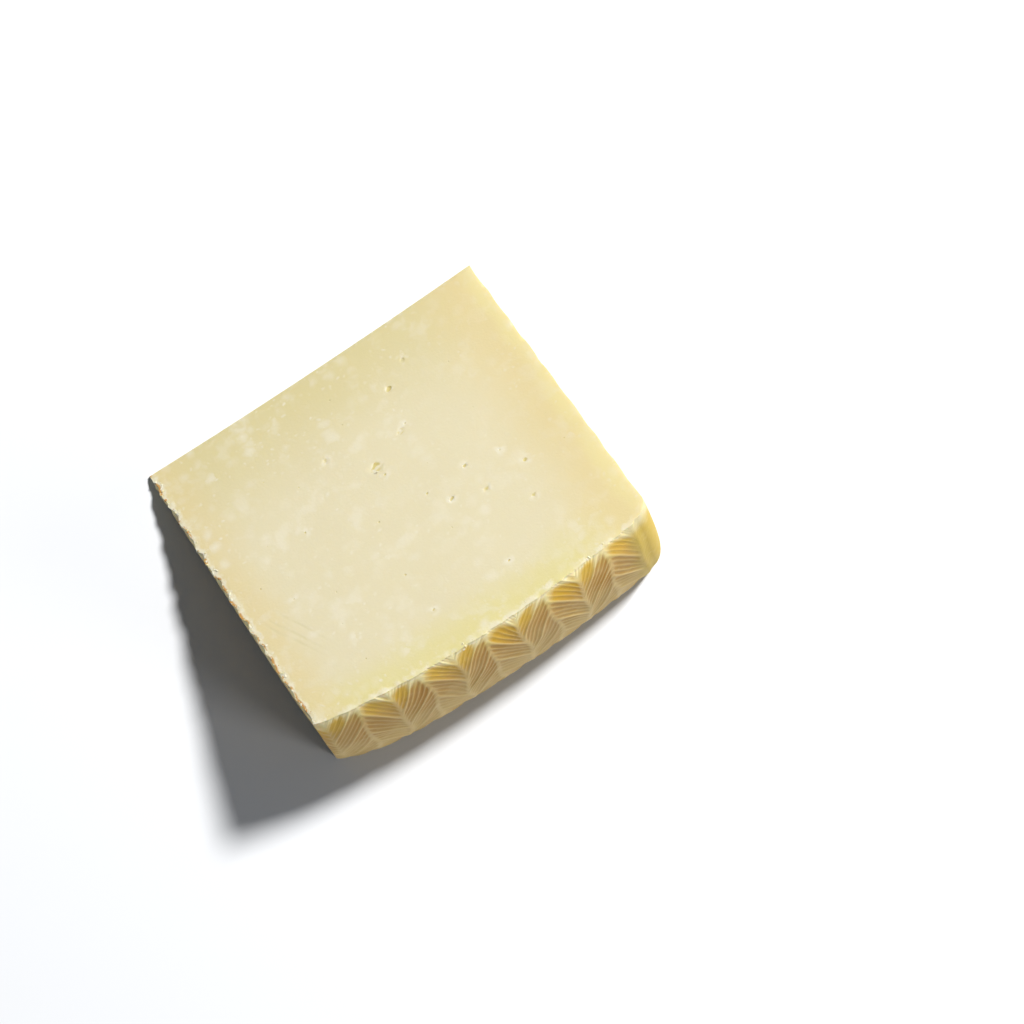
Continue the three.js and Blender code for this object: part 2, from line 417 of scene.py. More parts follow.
eyes = {
    "spacing": 6.5 * mm,        # least distance between two scattered ones
    "density": 9000.0,          # for each square metre of the cut
    "least": 0.12 * mm,         # half width
    "most": 0.34 * mm,
    "shallow": 0.4,             # depth for the width
    "margin": 6 * mm,           # none closer to the rind than this
    "unevenness": 0.4,
    "leastShape": (0.85, 0.7, 0.9),
    "mostShape": (1.2, 1.0, 1.1),
    "seed": 11,
    "chosen": [                 # x, distance from the wheel's axis, half width, depth
        (14.1 * mm, 21.7 * mm, 1.00 * mm, 0.30 * mm),
        (21.4 * mm, 16.6 * mm, 0.75 * mm, 0.14 * mm),
        (10.6 * mm, 34.8 * mm, 1.30 * mm, 0.12 * mm),
        (12.4 * mm, 33.4 * mm, 0.45 * mm, 0.18 * mm),
        (-10.0 * mm, 29.5 * mm, 0.80 * mm, 0.14 * mm),
        (18.9 * mm, 54.2 * mm, 0.70 * mm, 0.20 * mm),
        (11.2 * mm, 60.4 * mm, 0.80 * mm, 0.26 * mm),
        (20.0 * mm, 63.6 * mm, 0.95 * mm, 0.14 * mm),
        (32.6 * mm, 62.7 * mm, 0.75 * mm, 0.26 * mm),
        (29.1 * mm, 72.9 * mm, 0.75 * mm, 0.22 * mm),
        (28.6 * mm, 56.1 * mm, 0.32 * mm, 0.20 * mm),
        (6.8 * mm, 54.9 * mm, 0.50 * mm, 0.24 * mm),
        (14.1 * mm, 85.1 * mm, 0.40 * mm, 0.24 * mm),
        (-8.9 * mm, 84.9 * mm, 0.50 * mm, 0.20 * mm),
        (-25.0 * mm, 44.4 * mm, 0.35 * mm, 0.20 * mm),
        (-37.0 * mm, 59.3 * mm, 0.28 * mm, 0.20 * mm),
        (0.6 * mm, 43.1 * mm, 0.40 * mm, 0.20 * mm),
        (-0.1 * mm, 39.9 * mm, 2.1 * mm, 0.18 * mm),     # a wide shallow dimple
    ],
}

wedgeLook = {
    "sharpAngle": math.radians(38),
    "wornFrom": 20 * mm,        # arc below the upper cut where the strands start to be rubbed
    "wornTo": 40 * mm,
    "wornLeft": 0.5,            # share of the strands' depth that is left there
    "patches": 0.6,             # how far the rubbed patches higher up come to that
    "topFrom": 0.5 * mm,        # the strands are shallower still by the upper cut
    "topTo": 6 * mm,
    "topLeft": 0.4,
    "wobble": 0.3 * mm,         # unevenness of the rind
    "grain": 0.06 * mm,
}

wornEdge = {                    # where the upper cut meets the rind
    "depth": 0.5 * mm,
    "reach": 1.7 * mm,
    "leastShare": 0.15,         # the wear varies from this share of the depth to all of it
    "leftShare": 0.45,          # the -X edge keeps its corner, but is bitten back along X
    "bite": 0.6 * mm,
    "biteReach": 6 * mm,
    "endsAt": 42 * mm,          # the edge is clean beyond this x
    "endFade": 4 * mm,
    "endShare": 0.4,
    "lowFrom": 0.2 * mm,        # no wear at the table
    "lowTo": 2.5 * mm,
}


# Presses the plait and the ears into the wheel, cuts the wedge and hollows its eyes
def buildWedgeTree():
    tree, given = newTree("pressAndCutWedge", "GeometryNodeTree", [
        ("Geometry", "NodeSocketGeometry", None),
        ("Cutting Shape", "NodeSocketObject", None),
        ("Chosen Eyes", "NodeSocketObject", None),
        ("Bundle Depth", "NodeSocketFloat", plait["bundleDepth"]),
        ("Strand Depth", "NodeSocketFloat", plait["strandDepth"]),
        ("Strands in a Bundle", "NodeSocketInt", plait["strands"]),
        ("Fine Rib Depth", "NodeSocketFloat", ears["fineDepth"]),
        ("Fine Rib Pitch", "NodeSocketFloat", ears["finePitch"]),
        ("Broad Rib Depth", "NodeSocketFloat", ears["broadDepth"]),
        ("Broad Rib Pitch", "NodeSocketFloat", ears["broadPitch"]),
        ("Rind Wobble", "NodeSocketFloat", wedgeLook["wobble"]),
        ("Rind Grain", "NodeSocketFloat", wedgeLook["grain"]),
        ("Eye Spacing", "NodeSocketFloat", eyes["spacing"]),
        ("Eye Density", "NodeSocketFloat", eyes["density"]),
        ("Least Eye", "NodeSocketFloat", eyes["least"]),
        ("Most Eye", "NodeSocketFloat", eyes["most"]),
        ("Edge Wear", "NodeSocketFloat", wornEdge["depth"]),
        ("Edge Bite", "NodeSocketFloat", wornEdge["bite"]),
        ("Seed", "NodeSocketInt", eyes["seed"]),
        ("Sharp Angle", "NodeSocketFloat", wedgeLook["sharpAngle"]),
        ("Paste", "NodeSocketMaterial", None),
        ("Rind", "NodeSocketMaterial", None),
    ])
    tree.interface.new_socket("Geometry", in_out="OUTPUT", socket_type="NodeSocketGeometry")
    geometry = pressRind(tree, given)
    chosen = addNode(tree, "GeometryNodeObjectInfo", {"Object": given["Chosen Eyes"]}).outputs["Geometry"]
    geometry = cutWedge(tree, given, geometry, chosen)
    geometry = wearEdge(tree, given, markPlaces(tree, geometry, chosen))
    shaded = addNode(tree, "GeometryNodeSetShadeSmooth", {"Geometry": geometry, "Shade Smooth": True})
    angle = addNode(tree, "GeometryNodeInputMeshEdgeAngle").outputs["Unsigned Angle"]
    sharp = calc(tree, "GREATER_THAN", angle, given["Sharp Angle"])
    creased = addNode(tree, "GeometryNodeSetShadeSmooth", domain="EDGE",
                      inputs={"Geometry": shaded.outputs[0], "Selection": sharp, "Shade Smooth": False})
    realized = addNode(tree, "GeometryNodeRealizeInstances", {"Geometry": creased.outputs[0]})
    pasted = addNode(tree, "GeometryNodeSetMaterial",
                     {"Geometry": realized.outputs[0], "Material": given["Paste"]})
    onRind = calc(tree, "GREATER_THAN", named(tree, "rindFace"), 0.5)
    finished = addNode(tree, "GeometryNodeSetMaterial",
                       {"Geometry": pasted.outputs[0], "Selection": onRind, "Material": given["Rind"]})
    output = addNode(tree, "NodeGroupOutput")
    feed(tree, output.inputs[0], finished.outputs[0])
    return tree


# X with a slow wander, for where the plait ends
def wanderingX(tree, position, x):
    reach = plait["endWander"]
    drift = calc(tree, "MULTIPLY_ADD", noise(tree, position, 150.0, 2.0), 2 * reach, -reach)
    return calc(tree, "ADD", x, drift)


# How deep the plait is pressed in, with masks of its bundles and of their strands
def pressPlait(tree, given, position, x):
    pi = math.pi
    arcBelow = named(tree, "arcBelow")

    # Each bundle is a long shallow dish
    acrossSine = calc(tree, "SINE", calc(tree, "MULTIPLY", named(tree, "across"), pi))
    acrossSine = calc(tree, "MAXIMUM", acrossSine, 0.0)
    inBundle = calc(tree, "FRACT", named(tree, "turn"))
    bundleSine = calc(tree, "SINE", calc(tree, "MULTIPLY", inBundle, pi))
    beforeEnd = ease(tree, wanderingX(tree, position, x), plait["endsAt"], plait["goneAt"], 1.0, 0.0)
    plaitShare = calc(tree, "MULTIPLY", named(tree, "rimShare"), beforeEnd)
    acrossFlat = calc(tree, "POWER", acrossSine, plait["dishShape"])
    dish = calc(tree, "MULTIPLY", calc(tree, "MULTIPLY", acrossFlat, bundleSine), plaitShare)
    deepening = ease(tree, arcBelow, plait["shallowFrom"], plait["shallowTo"], plait["shallowUp"], 1.0)
    dishDepth = calc(tree, "MULTIPLY", calc(tree, "MULTIPLY", dish, deepening), given["Bundle Depth"])

    # Its strands are channels between thin ridges, drawn together at both ends
    spread = calc(tree, "MULTIPLY_ADD", acrossFlat, plait["bundleWidth"] - plait["bundleEndWidth"],
                  plait["bundleEndWidth"])
    aside = calc(tree, "DIVIDE", calc(tree, "SUBTRACT", inBundle, 0.5), spread)
    stray = calc(tree, "SUBTRACT", noise(tree, position, 260.0, 1.0), 0.5)
    aside = calc(tree, "ADD", aside, calc(tree, "MULTIPLY", stray, plait["strandSway"]))
    strandTurn = calc(tree, "MULTIPLY", calc(tree, "ADD", aside, 0.5), given["Strands in a Bundle"])
    channel = calc(tree, "SINE", calc(tree, "MULTIPLY", calc(tree, "FRACT", strandTurn), pi))
    within = calc(tree, "LESS_THAN", calc(tree, "ABSOLUTE", aside), 0.5)
    channel = calc(tree, "MULTIPLY", calc(tree, "POWER", channel, plait["channelShape"]), within)
    endings = calc(tree, "MULTIPLY_ADD", noise(tree, position, 300.0, 2.0), 14.0, -1.5)
    strandEnds = calc(tree, "MINIMUM", calc(tree, "MULTIPLY", acrossSine, endings), 1.0)

    # Rubbed places
    low = ease(tree, arcBelow, wedgeLook["wornFrom"], wedgeLook["wornTo"])
    patches = ease(tree, noise(tree, position, 95.0, 2.0), 0.42, 0.62, 0.0, wedgeLook["patches"])
    worn = calc(tree, "MULTIPLY", calc(tree, "MAXIMUM", low, patches), 1 - wedgeLook["wornLeft"])
    rubbedTop = ease(tree, arcBelow, wedgeLook["topFrom"], wedgeLook["topTo"], wedgeLook["topLeft"], 1.0)
    kept = calc(tree, "MULTIPLY", calc(tree, "SUBTRACT", 1.0, worn), rubbedTop)
    strandShare = calc(tree, "MULTIPLY", calc(tree, "MULTIPLY", strandEnds, plaitShare), kept)
    strandDepth = calc(tree, "MULTIPLY", channel, calc(tree, "MULTIPLY", strandShare, given["Strand Depth"]))
    channelMask = calc(tree, "DIVIDE", calc(tree, "MULTIPLY", channel, strandShare), rubbedTop)
    return calc(tree, "ADD", dishDepth, strandDepth), dish, channelMask


# How deep the ears are pressed into the flat faces, with a mask of their ribs
def pressEars(tree, given, position, x, roughness):
    onBroad = calc(tree, "GREATER_THAN", x, 0.0)
    ribs = []
    for side in ("Fine", "Broad"):
        wave = calc(tree, "DIVIDE", named(tree, "ribRun"), given[side + " Rib Pitch"])
        stray = calc(tree, "MULTIPLY", noise(tree, position, 45.0, 2.0), ears["waver"])
        wave = calc(tree, "ADD", wave, stray)
        cosine = calc(tree, "COSINE", calc(tree, "MULTIPLY", wave, 2 * math.pi))
        ribs.append(calc(tree, "MULTIPLY_ADD", cosine, 0.5, 0.5))
    ribHeight = addNode(tree, "ShaderNodeMix", {"Factor": onBroad, "A": ribs[0], "B": ribs[1]}).outputs[0]
    ribMask = calc(tree, "MULTIPLY", ribHeight, named(tree, "ribShare"))
    fullDepth = addNode(tree, "ShaderNodeMix", {"Factor": onBroad, "A": given["Fine Rib Depth"],
                                                "B": given["Broad Rib Depth"]}).outputs[0]
    faceDepth = calc(tree, "MULTIPLY_ADD", ribMask, fullDepth,
                     calc(tree, "MULTIPLY", roughness, ears["roughShare"]))
    faceShare = ease(tree, calc(tree, "ABSOLUTE", x),
                     halfHeight - ears["faceFrom"], halfHeight - ears["faceFull"])
    faceShare = calc(tree, "MULTIPLY", faceShare, calc(tree, "SUBTRACT", 1.0, named(tree, "rimShare")))
    return calc(tree, "MULTIPLY", faceDepth, faceShare), ribMask


# A random tone for each bundle, and how far a steep one is toasted towards its far end
def markBundles(tree, x):
    column = calc(tree, "FLOOR", calc(tree, "DIVIDE", calc(tree, "SUBTRACT", x, plait["valleyLine"]),
                                      plait["columnWidth"]))
    bundleNumber = calc(tree, "MULTIPLY_ADD", calc(tree, "FLOOR", named(tree, "turn")), 17.0, column)
    tone = addNode(tree, "ShaderNodeTexWhiteNoise", {"W": bundleNumber}, noise_dimensions="1D").outputs[0]
    steep = calc(tree, "LESS_THAN", calc(tree, "FLOORED_MODULO", column, 2.0), 0.5)
    return tone, calc(tree, "MULTIPLY", ease(tree, named(tree, "across"), 0.35, 0.85), steep)


def pressRind(tree, given):
    position = addNode(tree, "GeometryNodeInputPosition").outputs[0]
    parts = addNode(tree, "ShaderNodeSeparateXYZ", {"Vector": position})
    x = parts.outputs["X"]
    pressed, dish, channelMask = pressPlait(tree, given, position, x)
    wobble = calc(tree, "MULTIPLY", noise(tree, position, 70.0, 3.0, 0.55), given["Rind Wobble"])
    grain = calc(tree, "MULTIPLY", noise(tree, position, 900.0, 3.0, 0.6), given["Rind Grain"])
    roughness = calc(tree, "ADD", wobble, grain)
    pressed = calc(tree, "MULTIPLY_ADD", roughness, named(tree, "rimShare"), pressed)
    faceDepth, ribMask = pressEars(tree, given, position, x, roughness)
    tone, toast = markBundles(tree, x)

    # The rim is pressed towards the wheel's axis, the flat faces along X
    radial = addNode(tree, "ShaderNodeCombineXYZ",
                     {"Y": calc(tree, "SUBTRACT", parts.outputs["Y"], axisY), "Z": parts.outputs["Z"]})
    outward = vectorCalc(tree, "NORMALIZE", radial.outputs[0])
    inwardX = calc(tree, "MULTIPLY", calc(tree, "SIGN", x), calc(tree, "MULTIPLY", faceDepth, -1.0))
    alongX = addNode(tree, "ShaderNodeCombineXYZ", {"X": inwardX}).outputs[0]
    offset = vectorCalc(tree, "ADD", scaled(tree, outward, calc(tree, "MULTIPLY", pressed, -1.0)), alongX)

    geometry = given["Geometry"]
    for name, value in (("channel", channelMask), ("dish", dish), ("ribs", ribMask), ("tone", tone),
                        ("toast", toast)):
        geometry = store(tree, geometry, name, value)
    geometry = store(tree, geometry, "rindFace", 1.0, "FACE")
    moved = addNode(tree, "GeometryNodeSetPosition", {"Geometry": geometry, "Offset": offset})
    return moved.outputs[0]


def boolean(tree, operation, *meshes):
    node = addNode(tree, "GeometryNodeMeshBoolean", operation=operation)
    node.solver = "MANIFOLD"
    if operation == "DIFFERENCE":
        feed(tree, node.inputs["Mesh 1"], meshes[0])
        feed(tree, node.inputs["Mesh 2"], meshes[1])
    else:
        for mesh in meshes:
            tree.links.new(mesh, node.inputs["Mesh 2"])
    return node.outputs["Mesh"]


# 1 by the -X face, 0 farther than far from it
def byLeftFace(tree, x, near, far):
    return ease(tree, x, -halfHeight + near, -halfHeight + far, 1.0, 0.0)


# 1 along the edge, the share called left where it is clean towards +X
def beforeCleanEnd(tree, x, fade, left):
    return ease(tree, x, wornEdge["endsAt"], wornEdge["endsAt"] + fade, 1.0, left)


# Where a point lies in the wedge, in metres
def findPlace(tree):
    position = addNode(tree, "GeometryNodeInputPosition").outputs[0]
    parts = addNode(tree, "ShaderNodeSeparateXYZ", {"Vector": position})
    x, z = parts.outputs["X"], parts.outputs["Z"]
    out = calc(tree, "SUBTRACT", axisY, parts.outputs["Y"])
    radius = calc(tree, "SQRT", calc(tree, "ADD", calc(tree, "POWER", out, 2.0), calc(tree, "POWER", z, 2.0)))
    share = calc(tree, "POWER", calc(tree, "ABSOLUTE", calc(tree, "DIVIDE", x, halfHeight)), 2.0)
    rim = calc(tree, "MULTIPLY_ADD", share, -wheel["bulgeHigh"], wheel["radius"])
    below = calc(tree, "SUBTRACT", calc(tree, "MULTIPLY", out, math.sin(cut["angle"])),
                 calc(tree, "MULTIPLY", z, math.cos(cut["angle"])))
    return {"x": x, "fromAxis": radius, "toRim": calc(tree, "SUBTRACT", rim, radius),
            "toFace": calc(tree, "SUBTRACT", halfHeight, calc(tree, "ABSOLUTE", x)), "belowCut": below}


# The line where the upper cut meets the rind
def findEdgeLine(tree, geometry):
    between = addNode(tree, "GeometryNodeFieldOnDomain", {"Value": named(tree, "rindFace")}, domain="EDGE")
    mixed = calc(tree, "COMPARE", between.outputs[0], 0.5, 0.3)
    upper = calc(tree, "LESS_THAN", calc(tree, "ABSOLUTE", findPlace(tree)["belowCut"]), 1.2 * mm)
    node = addNode(tree, "GeometryNodeSeparateGeometry", domain="EDGE",
                   inputs={"Geometry": geometry, "Selection": calc(tree, "MULTIPLY", mixed, upper)})
    return node.outputs["Selection"]


def scaled(tree, vector, amount):
    node = addNode(tree, "ShaderNodeVectorMath", {"Vector": vector, "Scale": amount}, operation="SCALE")
    return node.outputs[0]


def randomVector(tree, least, most, seed):
    inputs = {"Min": least, "Max": most, "Seed": seed}
    return addNode(tree, "FunctionNodeRandomValue", inputs, data_type="FLOAT_VECTOR").outputs[0]


# A random size, with few large ones
def randomSize(tree, least, most, seed, power):
    draw = addNode(tree, "FunctionNodeRandomValue", {"Min": 0.0, "Max": 1.0, "Seed": seed}).outputs["Value"]
    inputs = {"Value": calc(tree, "POWER", draw, power), "To Min": least, "To Max": most}
    return addNode(tree, "ShaderNodeMapRange", inputs).outputs[0]


# Small uneven balls on the points, sized by their eyeSize and eyeDepth
def makeHollows(tree, points):
    ball = addNode(tree, "GeometryNodeMeshIcoSphere", {"Radius": 1.0, "Subdivisions": 2})
    size, depth = named(tree, "eyeSize"), named(tree, "eyeDepth")
    width = addNode(tree, "ShaderNodeCombineXYZ", {"X": size, "Y": size, "Z": depth}).outputs[0]
    shape = randomVector(tree, eyes["leastShape"], eyes["mostShape"], 3)
    width = vectorCalc(tree, "MULTIPLY", shape, width)
    tilt = addNode(tree, "FunctionNodeEulerToRotation", {"Euler": (-cut["angle"], 0.0, 0.0)}).outputs[0]
    spin = addNode(tree, "FunctionNodeEulerToRotation",
                   {"Euler": randomVector(tree, (0.0, 0.0, 0.0), (0.0, 0.0, 2 * math.pi), 5)}).outputs[0]
    turned = addNode(tree, "FunctionNodeRotateRotation", {"Rotation": tilt, "Rotate By": spin},
                     rotation_space="LOCAL").outputs[0]
    placed = addNode(tree, "GeometryNodeInstanceOnPoints",
                     {"Points": points, "Instance": ball.outputs[0], "Scale": width, "Rotation": turned})
    solid = addNode(tree, "GeometryNodeRealizeInstances", {"Geometry": placed.outputs[0]}).outputs[0]
    place = addNode(tree, "GeometryNodeInputPosition").outputs[0]
    bump = calc(tree, "SUBTRACT", noise(tree, place, 1300.0, 1.0), 0.5)
    reach = calc(tree, "MULTIPLY", calc(tree, "ADD", size, depth), eyes["unevenness"])
    normal = addNode(tree, "GeometryNodeInputNormal").outputs[0]
    push = scaled(tree, normal, calc(tree, "MULTIPLY", bump, reach))
    rough = addNode(tree, "GeometryNodeSetPosition", {"Geometry": solid, "Offset": push})
    marked = store(tree, rough.outputs[0], "rindFace", 0.0, "FACE")
    return store(tree, marked, "inEye", 1.0, "FACE")


def cutWedge(tree, given, wheelMesh, chosen):
    cutter = addNode(tree, "GeometryNodeObjectInfo", {"Object": given["Cutting Shape"]})
    cutterMesh = store(tree, cutter.outputs["Geometry"], "rindFace", 0.0, "FACE")
    wedge = boolean(tree, "INTERSECT", wheelMesh, cutterMesh)

    # Scattered eyes on both cuts, clear of the chosen ones
    place = findPlace(tree)
    inRim = calc(tree, "GREATER_THAN", place["toRim"], eyes["margin"])
    inNose = calc(tree, "GREATER_THAN", place["fromAxis"], eyes["margin"] * 2)
    inFaces = calc(tree, "GREATER_THAN", place["toFace"], eyes["margin"])
    inside = calc(tree, "MULTIPLY", calc(tree, "MULTIPLY", inRim, inNose), inFaces)
    scattered = addNode(tree, "GeometryNodeDistributePointsOnFaces", distribute_method="POISSON",
                        inputs={"Mesh": cutterMesh, "Selection": inside, "Distance Min": given["Eye Spacing"],
                                "Density Max": given["Eye Density"], "Seed": given["Seed"]})
    size = randomSize(tree, given["Least Eye"], given["Most Eye"], given["Seed"], 2.0)
    sized = store(tree, scattered.outputs["Points"], "eyeSize", size)
    sized = store(tree, sized, "eyeDepth", calc(tree, "MULTIPLY", named(tree, "eyeSize"), eyes["shallow"]))
    nearest = addNode(tree, "GeometryNodeProximity", {"Geometry": chosen}, target_element="POINTS")
    tooNear = calc(tree, "LESS_THAN", nearest.outputs["Distance"], given["Eye Spacing"])
    clear = addNode(tree, "GeometryNodeDeleteGeometry", {"Geometry": sized, "Selection": tooNear})
    chosenPoints = addNode(tree, "GeometryNodeMeshToPoints", {"Mesh": chosen})

    places = addNode(tree, "GeometryNodeJoinGeometry")
    for part in (clear.outputs[0], chosenPoints.outputs[0]):
        tree.links.new(part, places.inputs[0])
    return boolean(tree, "DIFFERENCE", wedge, makeHollows(tree, places.outputs[0]))


# Keeps how far each point lies from the rind, the edge and the eyes, for the materials
def markPlaces(tree, geometry, chosen):
    line = findEdgeLine(tree, geometry)
    nearest = addNode(tree, "GeometryNodeProximity", {"Geometry": line}, target_element="EDGES")
    place = findPlace(tree)
    place["toEdge"] = nearest.outputs["Distance"]
    eye = addNode(tree, "GeometryNodeProximity", {"Geometry": chosen}, target_element="POINTS")
    place["toEye"] = eye.outputs["Distance"]
    for name in ("toRim", "toFace", "belowCut", "toEdge", "toEye"):
        geometry = store(tree, geometry, name, place[name])
    return geometry


# Wears the edge of the rind off unevenly
def wearEdge(tree, given, geometry):
    x = findPlace(tree)["x"]
    position = addNode(tree, "GeometryNodeInputPosition").outputs[0]
    near = ease(tree, named(tree, "toEdge"), 0.0, wornEdge["reach"], 1.0, 0.0)
    uneven = ease(tree, noise(tree, position, 420.0, 2.0), 0.35, 0.65, wornEdge["leastShare"], 1.0)
    onLeft = byLeftFace(tree, x, 1 * mm, 4 * mm)
    left = calc(tree, "MULTIPLY_ADD", onLeft, wornEdge["leftShare"] - 1, 1.0)
    right = beforeCleanEnd(tree, x, wornEdge["endFade"], wornEdge["endShare"])
    height = addNode(tree, "ShaderNodeSeparateXYZ", {"Vector": position}).outputs["Z"]
    right = calc(tree, "MULTIPLY", right, ease(tree, height, wornEdge["lowFrom"], wornEdge["lowTo"]))
    wear = calc(tree, "MULTIPLY", calc(tree, "MULTIPLY", left, right), calc(tree, "MULTIPLY", near, near))
    amount = calc(tree, "MULTIPLY", calc(tree, "MULTIPLY", wear, uneven), given["Edge Wear"])
    faceSide = ease(tree, calc(tree, "ABSOLUTE", x), halfHeight - 4 * mm, halfHeight - 1 * mm)
    byFace = calc(tree, "MULTIPLY", calc(tree, "SIGN", x), calc(tree, "MULTIPLY", faceSide, -1.0))
    byRim = ease(tree, named(tree, "toRim"), 2 * mm, 6 * mm, 1.0, 0.0)
    slope, rise = math.sin(cut["angle"]), math.cos(cut["angle"])
    inward = addNode(tree, "ShaderNodeCombineXYZ", {
        "X": byFace, "Y": calc(tree, "MULTIPLY_ADD", byRim, rise, -slope),
        "Z": calc(tree, "MULTIPLY_ADD", byRim, -slope, -rise)}).outputs[0]
    push = scaled(tree, vectorCalc(tree, "NORMALIZE", inward), amount)
    bites = ease(tree, noise(tree, position, 300.0, 3.0, 0.6), 0.38, 0.62)
    bites = calc(tree, "MULTIPLY", bites, calc(tree, "MULTIPLY", onLeft, given["Edge Bite"]))
    upper = ease(tree, named(tree, "toEdge"), 0.0, wornEdge["biteReach"], 1.0, 0.0)
    alongX = addNode(tree, "ShaderNodeCombineXYZ", {"X": calc(tree, "MULTIPLY", bites, upper)}).outputs[0]
    offset = vectorCalc(tree, "ADD", push, alongX)
    return addNode(tree, "GeometryNodeSetPosition", {"Geometry": geometry, "Offset": offset}).outputs[0]


def makeChosenEyes():
    points = [(x, axisY - out * math.cos(cut["angle"]), out * math.sin(cut["angle"]))
              for x, out, size, depth in eyes["chosen"]]
    sizes = {"eyeSize": [eye[2] for eye in eyes["chosen"]], "eyeDepth": [eye[3] for eye in eyes["chosen"]]}
    return meshObject("chosenEyes", points, [], sizes)


def makeWedge(paste, rind):
    blank, shape, chosen = makeWheel(), makeCutter(), makeChosenEyes()
    for helper in (blank, shape):
        helper.data.materials.append(paste)
    values = {"Cutting Shape": shape, "Chosen Eyes": chosen, "Paste": paste, "Rind": rind}
    wedge = bakeTree(blank, buildWedgeTree(), values, "cheeseWedge")
    for helper in (blank, shape, chosen):
        bpy.data.objects.remove(helper)
    return wedge


crumbs = {
    "spacing": 0.5 * mm,
    "density": 2.4e6,           # for each square metre
    "least": 0.14 * mm,         # half width
    "most": 0.42 * mm,
    "reach": 1.5 * mm,          # from the edge
    "leftLarger": 1.35,         # the crumbs on the -X edge are larger by this
    "floorGap": 2.5 * mm,       # none lower than this
    "sunk": 0.45,               # share of the half width
    "unevenness": 0.9,
    "leastShape": (0.7, 0.7, 0.6),
    "mostShape": (1.2, 1.1, 0.9),
    "clumpScale": 240.0,        # of the noise that gathers them
    "clumpShares": (0.02, 0.5), # of the density, between the clumps and in them
    "endShare": 0.03,           # beyond the end of the worn edge
    "leftBrowner": 0.08,        # more rind coloured ones on the -X edge
    "seed": 4,
}


# Crumbs of curd that the knife left along the edge of the rind
def buildCrumbTree():
    tree, given = newTree("edgeCrumbs", "GeometryNodeTree", [
        ("Geometry", "NodeSocketGeometry", None),
        ("Spacing", "NodeSocketFloat", crumbs["spacing"]),
        ("Density", "NodeSocketFloat", crumbs["density"]),
        ("Least Size", "NodeSocketFloat", crumbs["least"]),
        ("Most Size", "NodeSocketFloat", crumbs["most"]),
        ("Reach", "NodeSocketFloat", crumbs["reach"]),
        ("Seed", "NodeSocketInt", crumbs["seed"]),
        ("Crumb", "NodeSocketMaterial", None),
    ])
    tree.interface.new_socket("Geometry", in_out="OUTPUT", socket_type="NodeSocketGeometry")
    x = findPlace(tree)["x"]
    position = addNode(tree, "GeometryNodeInputPosition").outputs[0]
    span = {"Value": named(tree, "toEdge"), "From Max": given["Reach"], "To Min": 1.0, "To Max": 0.0}
    near = addNode(tree, "ShaderNodeMapRange", span).outputs[0]
    leftEdge = byLeftFace(tree, x, 1 * mm, 3 * mm)
    clumps = ease(tree, noise(tree, position, crumbs["clumpScale"], 2.0), 0.48, 0.66, *crumbs["clumpShares"])
    clean = beforeCleanEnd(tree, x, wornEdge["endFade"], crumbs["endShare"])
    share = calc(tree, "MULTIPLY", calc(tree, "MAXIMUM", clumps, leftEdge), clean)
    height = addNode(tree, "ShaderNodeSeparateXYZ", {"Vector": position}).outputs["Z"]
    share = calc(tree, "MULTIPLY", share, calc(tree, "GREATER_THAN", height, crumbs["floorGap"]))
    factor = calc(tree, "MULTIPLY", near, share)
    spread = {"Mesh": given["Geometry"], "Distance Min": given["Spacing"], "Density Max": given["Density"],
              "Density Factor": factor, "Seed": given["Seed"]}
    points = addNode(tree, "GeometryNodeDistributePointsOnFaces", spread, distribute_method="POISSON")
    size = randomSize(tree, given["Least Size"], given["Most Size"], 21, 1.8)
    size = calc(tree, "MULTIPLY", size, calc(tree, "MULTIPLY_ADD", leftEdge, crumbs["leftLarger"] - 1, 1.0))
    sized = store(tree, points.outputs["Points"], "crumbSize", size)
    crumbSize = named(tree, "crumbSize")
    sunk = scaled(tree, points.outputs["Normal"], calc(tree, "MULTIPLY", crumbSize, -crumbs["sunk"]))
    lowered = addNode(tree, "GeometryNodeSetPosition", {"Geometry": sized, "Offset": sunk})
    shade = addNode(tree, "FunctionNodeRandomValue", {"Min": 0.0, "Max": 1.0, "Seed": 22}).outputs["Value"]
    browner = calc(tree, "ADD", shade, calc(tree, "MULTIPLY", leftEdge, crumbs["leftBrowner"]))
    toned = store(tree, lowered.outputs[0], "shade", browner)
    ball = addNode(tree, "GeometryNodeMeshIcoSphere", {"Radius": 1.0, "Subdivisions": 2})
    width = scaled(tree, randomVector(tree, crumbs["leastShape"], crumbs["mostShape"], 23), crumbSize)
    placed = addNode(tree, "GeometryNodeInstanceOnPoints",
                     {"Points": toned, "Instance": ball.outputs[0], "Scale": width,
                      "Rotation": randomVector(tree, (0.0, 0.0, 0.0), (6.3, 6.3, 6.3), 24)})
    solid = addNode(tree, "GeometryNodeRealizeInstances", {"Geometry": placed.outputs[0]}).outputs[0]
    place = addNode(tree, "GeometryNodeInputPosition").outputs[0]
    bump = calc(tree, "SUBTRACT", noise(tree, place, 2200.0, 1.0), 0.5)
    amount = calc(tree, "MULTIPLY", calc(tree, "MULTIPLY", bump, crumbSize), 2 * crumbs["unevenness"])
    push = scaled(tree, addNode(tree, "GeometryNodeInputNormal").outputs[0], amount)
    rough = addNode(tree, "GeometryNodeSetPosition", {"Geometry": solid, "Offset": push})
    finished = addNode(tree, "GeometryNodeSetMaterial",
                       {"Geometry": rough.outputs[0], "Material": given["Crumb"]})
    output = addNode(tree, "NodeGroupOutput")
    feed(tree, output.inputs[0], finished.outputs[0])
    return tree


def makeCrumbs(wedge, crumbMaterial):
    copied = bpy.data.objects.new("crumbSurface", wedge.data.copy())
    bpy.context.scene.collection.objects.link(copied)
    made = bakeTree(copied, buildCrumbTree(), {"Crumb": crumbMaterial}, "edgeCrumbs")
    bpy.data.objects.remove(copied)
    return made


